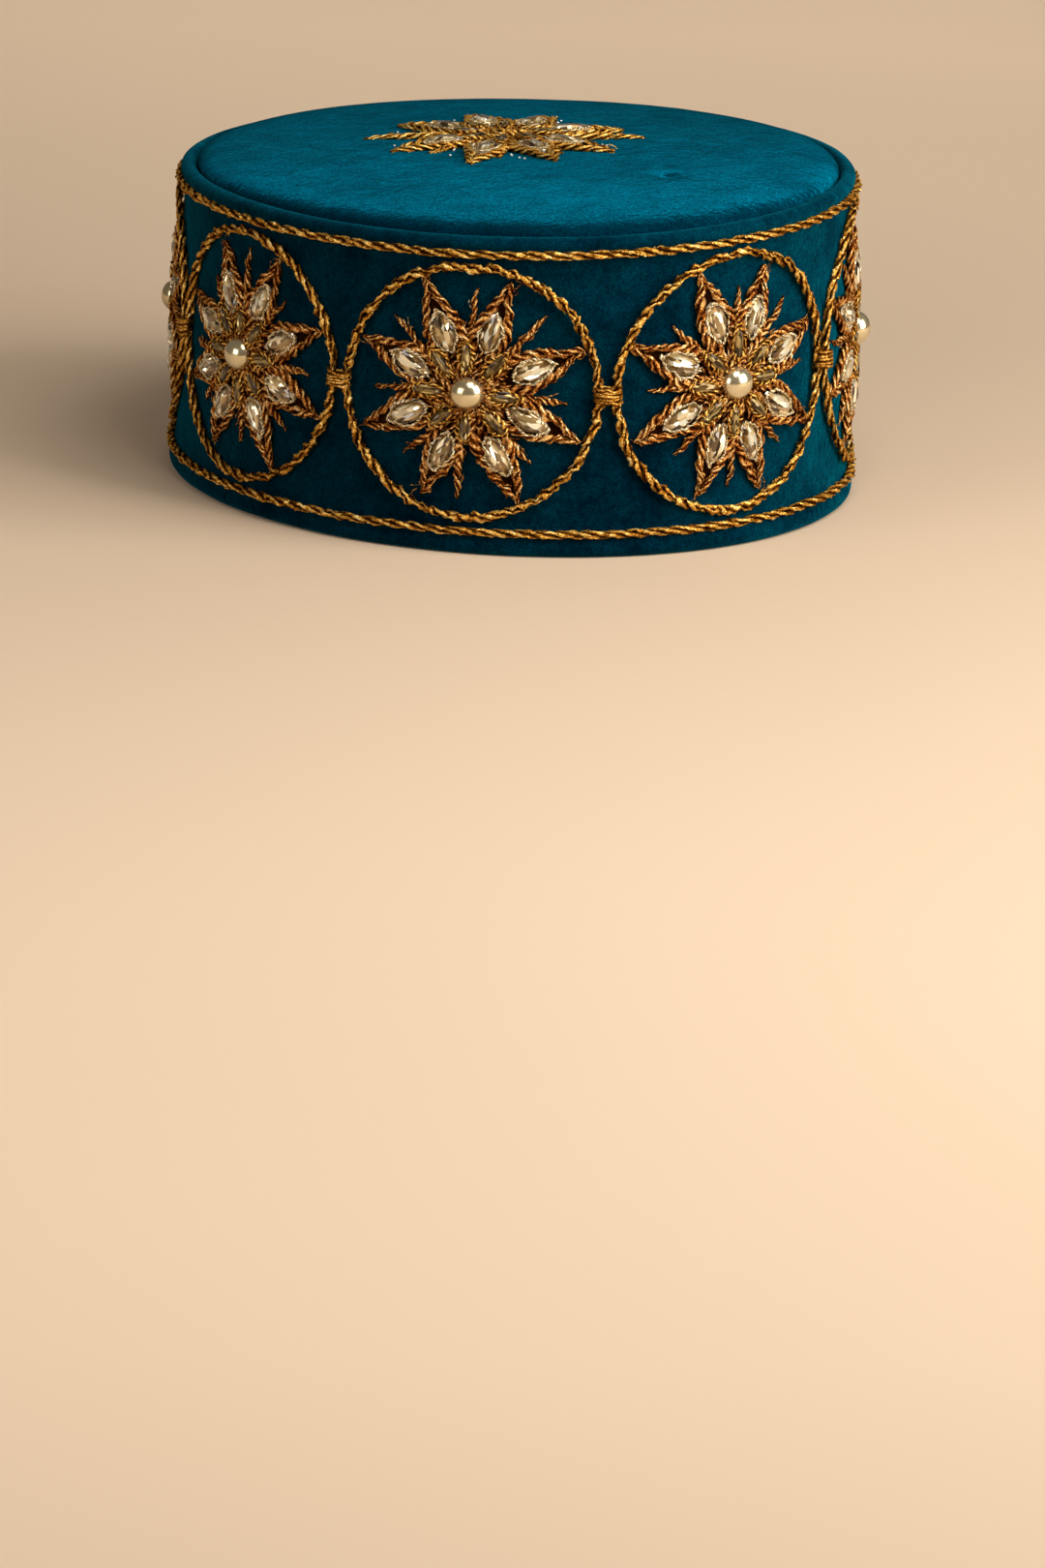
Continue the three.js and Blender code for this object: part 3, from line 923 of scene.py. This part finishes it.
def flat_star(name, seed, long_spikes=(), petal_turns=PETALS * (0,)):
    """Eight petals and rays round a packed middle, each laid a little differently; petal_turns in degrees"""
    hand = random.Random(seed)
    work = [copied(star_parts["middle"], moved())]
    stones = []
    for i in range(PETALS):
        petal_turn = 2 * math.pi * (i + 0.5) / PETALS + math.radians(petal_turns[i])
        petal_turn += hand.uniform(-0.04, 0.04)
        shape = sized(x=hand.uniform(0.95, 1.02), y=hand.uniform(0.93, 1.08))
        place = turned(petal_turn) @ leaned(hand.uniform(-0.05, 0.05)) @ shape
        work += [copied(star_parts[part], place) for part in ("ground", "edge", "lining")]
        seat = place @ moved(x=hand.uniform(-0.5, 0.7) * MM)
        tipped = seat @ moved(x=STONE_REACH) @ turned(hand.uniform(-0.09, 0.09)) @ moved(x=-STONE_REACH)
        work.append(copied(star_parts["rim"], tipped))
        stones.append(recut(copied(star_parts["gem"], tipped), hand))
        spike_turn = 2 * math.pi * i / PETALS + hand.uniform(-0.06, 0.06)
        stretch = LONG_SPIKE_STRETCH if i in long_spikes else hand.uniform(0.86, 1.04)
        flip = hand.choice((-1, 1))
        bend = leaned(hand.uniform(-0.06, 0.06))
        work.append(copied(star_parts["spike"], turned(spike_turn) @ bend @ sized(x=stretch, y=flip)))
        bend = leaned(hand.uniform(-0.08, 0.08))
        leaf_place = turned(spike_turn) @ bend @ sized(x=hand.uniform(0.92, 1.04))
        work.append(copied(star_parts["leaf"], leaf_place))
        stones.append(recut(copied(star_parts["chip"], leaf_place), hand))
        cut_ends = ((petal_turn, 31.5), (petal_turn, 29), (spike_turn, 23 * stretch), (spike_turn, 17))
        for turn, reach in cut_ends:
            spot = turned(turn + hand.uniform(-0.03, 0.03)) @ moved(x=reach * MM, z=hand.uniform(0, 0.5) * MM)
            work.append(copied(star_parts["hair"], spot @ turned(hand.uniform(-0.5, 0.5))))
    for i in range(BULLIONS_ROUND):
        turn = 2 * math.pi * i / BULLIONS_ROUND + hand.uniform(-0.06, 0.06)
        place = turned(turn) @ moved(z=hand.uniform(-0.7, 0.1) * MM) @ leaned(hand.uniform(-0.12, 0.12))
        work.append(copied(star_parts["bullion"], place @ sized(x=hand.uniform(0.72, 1.15))))
    for i in range(BULLIONS_ACROSS):
        across = turned(hand.uniform(0, 6.3))
        aside = moved(x=-8 * MM, y=hand.uniform(-2, 2) * MM, z=hand.uniform(0, 0.6) * MM)
        work.append(copied(star_parts["bullion"], across @ aside))
    sewn = joined(name, work)
    hand_laid(sewn, amount=2.0 * MM, grain=3.8 * MM, seed=seed)
    hand_laid(sewn, amount=1.3 * MM, grain=1.2 * MM, seed=3 * seed + 1)
    return joined(name, stones + [sewn])


def with_seed_beads(star, seed):
    """Tiny clear beads sewn in loose rows beside the petals"""
    hand = random.Random(seed)
    beads = []
    for petal in range(PETALS):
        turn = 2 * math.pi * (petal + 0.5) / PETALS
        for i in range(SEED_BEADS_TO_PETAL):
            bpy.ops.mesh.primitive_ico_sphere_add(
                subdivisions=1, radius=SEED_BEAD_RADIUS, location=(0, 0, 0.3 * MM))
            bead = dressed(settle(bpy.context.object), clear_bead)
            bead.data.uv_layers[0].name = "thread"
            reach = 15 + 17 * i / SEED_BEADS_TO_PETAL + hand.uniform(-1, 1)
            aside = 1.2 + (34 - reach) * 0.28 + hand.uniform(0, 1.2)
            bead.data.transform(turned(turn) @ moved(x=reach * MM, y=aside * hand.choice((-1, 1)) * MM))
            beads.append(bead)
    return joined(star.name, beads + [star])


def laid_on_crown(piece):
    place = moved(x=TOP_STAR_SIDE, y=TOP_STAR_BACK) @ turned(TOP_STAR_TURN)
    piece.data.transform(place @ sized(x=TOP_STAR_SCALE, y=TOP_STAR_SCALE))
    for v in piece.data.vertices:
        v.co.z += crown_height(v.co.x, v.co.y)
    # Painted light: the crown star's rust purl is swapped for the brighter purl, a lit copy of the same
    # thread for the star that faces up to the lamps
    for i, material in enumerate(piece.data.materials):
        if material == rust_purl:
            piece.data.materials[i] = bright_purl
    return leant(piece)


# Border cords, ring ties and pearls
def border_cord(name, height, seed):
    """A cord all the way round, laid flat first with its two ends kept in line"""
    lays = round(GIRTH / BORDER_LAY)
    cord = twisted_cord(name, lay=GIRTH / lays, lays=lays, closed_ends=False, **BORDER_CORD)
    cord.data.transform(moved(z=CORD_OUT))
    on_band(cord, 0, height)
    welded(cord, 0.03 * MM)
    return dressed(hand_twisted(cord, seed), gold_cord)


def ring_tie():
    """Thread wound side by side over the two cords where their rings meet"""
    loops = []
    for i in range(TIE_WINDINGS):
        place = (i - TIE_WINDINGS // 2) * WINDING_SPACING
        bpy.ops.mesh.primitive_torus_add(
            major_radius=2.6 * MM, minor_radius=0.56 * MM, major_segments=20, minor_segments=6,
            location=(0, place, TIE_LIFT), rotation=(math.pi / 2, 0, 0.12 * (i % 2) - 0.06))
        loop = settle(bpy.context.object)
        loop.data.transform(moved(z=TIE_LIFT) @ sized(x=1.25, z=0.72) @ moved(z=-TIE_LIFT))
        loops.append(loop)
    tie = joined("tie", loops)
    tie.data.uv_layers[0].name = "thread"

    # Painted shade between the windings: the relief mark drops between them, so the thread shader darkens the
    # thread there
    def winding_relief(spot):
        row = spot.y / WINDING_SPACING
        return 1 - abs(row - round(row)) * 0.7

    return dressed(smooth(marked(tie, "relief", winding_relief)), gold_cord)


def half_pearl():
    """A pearl cut flat at the back, with its edge just rounded"""
    bpy.ops.mesh.primitive_uv_sphere_add(segments=40, ring_count=28, radius=PEARL_RADIUS, location=(0, 0, 0))
    pearl = bpy.context.object
    open_mesh(pearl)
    bpy.ops.mesh.bisect(plane_co=(0, 0, -0.1 * MM), plane_no=(0, 0, 1), clear_inner=True, use_fill=True)
    close_mesh()
    pearl.data.transform(moved(z=PEARL_LIFT) @ sized(z=PEARL_RISE / PEARL_RADIUS))
    pick(pearl)
    bpy.ops.object.shade_smooth_by_angle(angle=math.radians(50))
    return dressed(pearl, pearl_lustre)


# Assembly
def placed(piece, material_slot, *nodes):
    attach(piece, "root")
    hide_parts(*nodes)
    return piece


placed(dressed(side_band(), band_velvet), "velvet", "side_band")
crown_panel = placed(dressed(crown(), crown_velvet), "velvet", "crown")

for level, height, seed in (("bottom", BOTTOM_CORD_HEIGHT, 1), ("top", TOP_CORD_HEIGHT, 2)):
    placed(border_cord("gold_border_cord_" + level, height, seed), "gold_cord", "border_cord_" + level)

ring_guide = round_guide("ring_line", RING_RADIUS, RING_RADIUS)
flat_ring = dressed(cord_along("flat_ring", ring_guide, CORD_OUT, RING_LAY, **RING_CORD), gold_cord)
flat_tie = ring_tie()
flat_pearl = half_pearl()

for i in range(MEDALLIONS):
    number = str(i + 1)
    arc = i * PITCH
    ring = hand_twisted(copied(flat_ring, turned(0.7 * i)), 20 + i)
    ring.name = "gold_ring_cord_" + number
    placed(on_band(ring, arc, RING_HEIGHT), "gold_cord", "ring_cord_" + number)
    tie = copied(flat_tie, moved())
    tie.name = "gold_ring_tie_" + number
    hand_laid(tie, amount=1.6 * MM, grain=4 * MM, seed=40 + i)
    hand_laid(tie, amount=1.4 * MM, grain=1.3 * MM, seed=50 + i)
    placed(on_band(tie, arc + PITCH / 2, RING_HEIGHT), "gold_cord", "ring_tie_" + number)
    star = flat_star("crystal_star_" + number, seed=10 + i)
    placed(on_band(star, arc, RING_HEIGHT), "crystal_star", "star_" + number)
    pearl = copied(flat_pearl, moved())
    pearl.name = "glossy_pearl_" + number
    placed(on_band(pearl, arc, RING_HEIGHT), "pearl", "pearl_" + number)

top_star = flat_star(
    "crystal_star_top", seed=31, long_spikes=TOP_STAR_LONG_SPIKES, petal_turns=TOP_STAR_PETAL_TURNS)
top_star = with_seed_beads(top_star, seed=5)
placed(laid_on_crown(top_star), "crystal_star", "star_top")

discard(flat_ring, flat_tie, flat_pearl, ring_guide, *star_parts.values())
discard(oval, lean_cage)

# Floor, light and camera
CAP_MIDDLE = Vector((0, 0, MID_HEIGHT))
VIEW_TURN = math.radians(-36.89)
VIEW_RISE = math.radians(12.63)
VIEW_ROLL = 0.02684
VIEW_DISTANCE = 1941.4 * MM
FOCAL_PIXELS = 7001
PICTURE_WIDTH, PICTURE_HEIGHT = 1080, 1620
CAP_PIXEL_X, CAP_PIXEL_Y = 530.4, 322.3
SENSOR_WIDTH = 36
FLOOR_RADIUS = 9

towards_eye = Vector((
    math.sin(VIEW_TURN) * math.cos(VIEW_RISE),
    -math.cos(VIEW_TURN) * math.cos(VIEW_RISE),
    math.sin(VIEW_RISE)))
eye = CAP_MIDDLE + towards_eye * VIEW_DISTANCE
view_right = (-towards_eye).cross(Vector((0, 0, 1))).normalized()
view_up = view_right.cross(-towards_eye)
aim = Matrix((view_right, view_up, towards_eye)).transposed()
aim = aim @ Matrix.Rotation(VIEW_ROLL, 3, "Z")
aim = aim @ Matrix.Rotation(-math.atan2(PICTURE_HEIGHT / 2 - CAP_PIXEL_Y, FOCAL_PIXELS), 3, "X")
aim = aim @ Matrix.Rotation(math.atan2(CAP_PIXEL_X - PICTURE_WIDTH / 2, FOCAL_PIXELS), 3, "Y")
camera_data = bpy.data.cameras.new("camera")
camera_data.sensor_width = SENSOR_WIDTH
camera_data.lens = FOCAL_PIXELS / PICTURE_HEIGHT * SENSOR_WIDTH
camera_data.clip_end = 50
camera = bpy.data.objects.new("camera", camera_data)
camera.matrix_world = Matrix.Translation(eye) @ aim.to_4x4()
bpy.context.collection.objects.link(camera)
bpy.context.scene.camera = camera
bpy.context.scene.view_settings.view_transform = "Standard"

bpy.ops.mesh.primitive_circle_add(vertices=96, radius=FLOOR_RADIUS, fill_type="NGON", location=(0, 0, 0))
floor = bpy.context.object
floor.name = "floor"
floor_material, nodes, links, shader = new_material("pale_floor")
floor_place = object_place(nodes)
mottle = tones(nodes, links, noise(nodes, links, floor_place, 1.5, 2, 0.6), [
    (0.3, 0.66, 0.500, 0.352), (0.7, 0.71, 0.540, 0.382)])
# Painted light: the floor's colour grows lighter further from the cap, standing in for a more brightly lit
# backdrop, and a little darker close round it
away = vector_step(nodes, links, "LENGTH", floor_place)
painted_far_light = tones(nodes, links, away.outputs["Value"], [(0.12, 0.92, 0.92, 0.92), (0.70, 1.3, 1.3, 1.3)])
links.new(blended(nodes, links, 1.0, mottle, painted_far_light, "MULTIPLY"), shader.inputs["Base Color"])
shader.inputs["Roughness"].default_value = 0.9
dressed(floor, floor_material)


def softbox(name, right, up, near, size, power, colour, spread=math.pi, aim_way=None):
    """A square soft light placed by directions seen from the camera, aimed at the cap or the given way"""
    level_near = Vector((towards_eye.x, towards_eye.y, 0)).normalized()
    spot = CAP_MIDDLE + view_right * right + Vector((0, 0, 1)) * up + level_near * near
    lamp = bpy.data.lights.new(name, "AREA")
    lamp.shape = "SQUARE"
    lamp.size = size
    lamp.energy = power
    lamp.color = colour
    lamp.spread = spread
    light = bpy.data.objects.new(name, lamp)
    light.location = spot
    light.rotation_euler = (aim_way or CAP_MIDDLE - spot).to_track_quat("-Z", "Y").to_euler()
    bpy.context.collection.objects.link(light)


softbox("left_softbox", right=-0.92, up=0.45, near=0.85, size=0.65, power=5.0, colour=(1, 0.97, 0.93))
softbox("right_softbox", right=0.95, up=0.52, near=0.48, size=0.85, power=17, colour=(1, 0.97, 0.92))
softbox("crown_softbox", right=0.15, up=0.60, near=0.30, size=0.34, power=2.2, colour=(1, 0.98, 0.94))
softbox(
    "floor_softbox", right=0.0, up=0.95, near=-1.15, size=1.3, power=1.9, colour=(1, 0.97, 0.92),
    spread=math.radians(60), aim_way=Vector((0, 0, -1)))

world = bpy.data.worlds.new("studio")
bpy.context.scene.world = world
world.use_nodes = True
backdrop = world.node_tree.nodes["Background"]
backdrop.inputs["Color"].default_value = (0.80, 0.68, 0.54, 1)
backdrop.inputs["Strength"].default_value = 0.16
